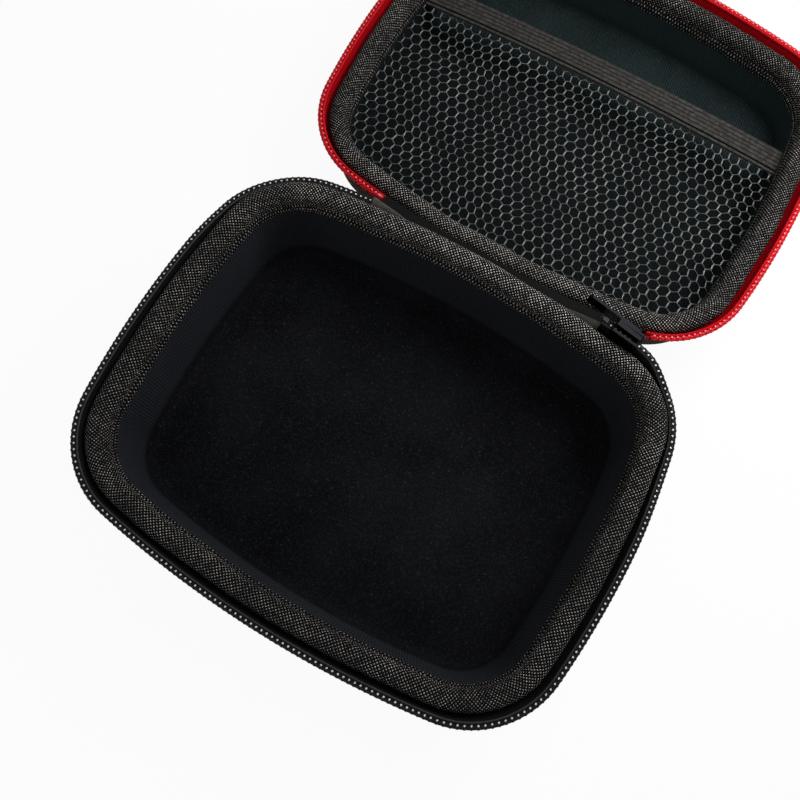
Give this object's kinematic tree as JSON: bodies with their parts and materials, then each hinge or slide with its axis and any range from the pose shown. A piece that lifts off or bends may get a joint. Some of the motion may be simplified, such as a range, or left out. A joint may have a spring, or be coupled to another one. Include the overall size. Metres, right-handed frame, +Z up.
{
  "type": "card storage case",
  "caption": "Zipped hard-shell case lying open: a deep lined base and a shallower lid with a net pocket, joined by a fabric hinge, with woven lips and a red and black zip.",
  "frame": {"origin": "middle of the base's flat underside", "axes": "+X along the hinge, to the right as seen from the base's front; +Y from the base to the opened lid; +Z up"},
  "size_m": [0.1638, 0.2661, 0.0457],
  "materials": {
    "woven_cover": "charcoal woven cover on moulded foam",
    "woven_binding": "coarse charcoal weave with grey thread dots",
    "base_knit": "near-black ribbed knit",
    "lid_knit": "black knit with fine slanted ribs",
    "black_tape": "black woven tape",
    "black_teeth": "glossy black nylon",
    "red_tape": "red woven tape",
    "red_teeth": "glossy red nylon",
    "dark_metal": "dark grey lacquered metal",
    "hinge_fabric": "smooth dark grey fabric",
    "net_thread": "grey knitted net",
    "elastic": "brown-grey ribbed elastic"
  },
  "bodies": {
    "base": {"base_shell": "woven_cover", "base_lining": "base_knit", "base_lip_binding": "woven_binding", "base_zip_tape": "black_tape", "base_zip_teeth": "black_teeth", "zip_bottom_stop": "black_teeth", "zip_slider": "dark_metal", "hinge_strip": "hinge_fabric"},
    "pull": {"zip_pull": "dark_metal"},
    "lid": {"lid_shell": "woven_cover", "lid_lining": "lid_knit", "lid_lip_binding": "woven_binding", "lid_zip_tape": "red_tape", "lid_zip_teeth": "red_teeth", "pocket_net": "net_thread", "pocket_elastic": "elastic"}
  },
  "joints": [
    {"name": "lid_hinge", "type": "hinge", "parent": "base", "child": "lid", "pos_m": [0, 0.06617, 0.03645], "axis": [1, 0, 0], "range_deg": [0, 180], "deforming": ["hinge_strip"]},
    {"name": "pull_swing", "type": "hinge", "parent": "base", "child": "pull", "pos_m": [0.05031, 0.06471, 0.0427], "axis": [0, 0, -1], "range_deg": [0, 165]}
  ]
}
